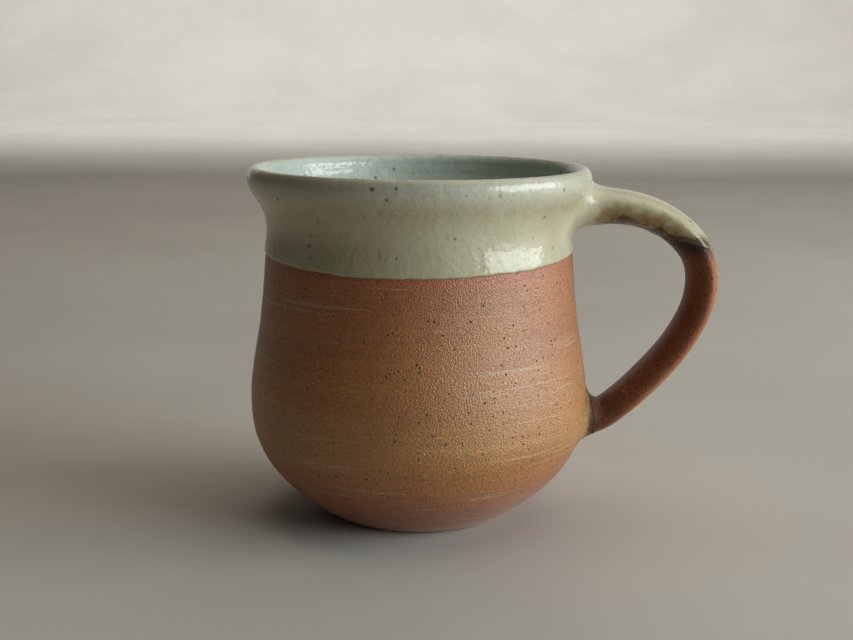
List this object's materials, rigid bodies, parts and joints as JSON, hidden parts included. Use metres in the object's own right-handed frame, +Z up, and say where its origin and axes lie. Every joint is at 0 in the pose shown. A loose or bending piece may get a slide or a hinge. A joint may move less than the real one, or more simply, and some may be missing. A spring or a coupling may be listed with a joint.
{
  "type": "stoneware mug",
  "caption": "Hand-thrown stoneware mug: pear-shaped raw clay body, flared rim with a pale glaze coat, and a pulled strap handle.",
  "frame": {"origin": "centre of the flat base, on the mug's axis, at table level", "axes": "+Z up along the mug's axis, +X towards the handle"},
  "size_m": [0.1289, 0.0936, 0.096],
  "materials": {
    "raw_stoneware": "matte, unglazed, coarse grain",
    "handle_stoneware": "matte, unglazed, flashed red-brown",
    "joining_clay": "matte, unglazed",
    "celadon_glaze": "glossy, iron speckled"
  },
  "bodies": {
    "root": {"thrown_body": "raw_stoneware", "pulled_handle": "handle_stoneware", "upper_join": "joining_clay", "lower_join": "joining_clay", "liner_glaze": "celadon_glaze", "neck_glaze": "celadon_glaze", "handle_glaze": "celadon_glaze"}
  },
  "joints": []
}
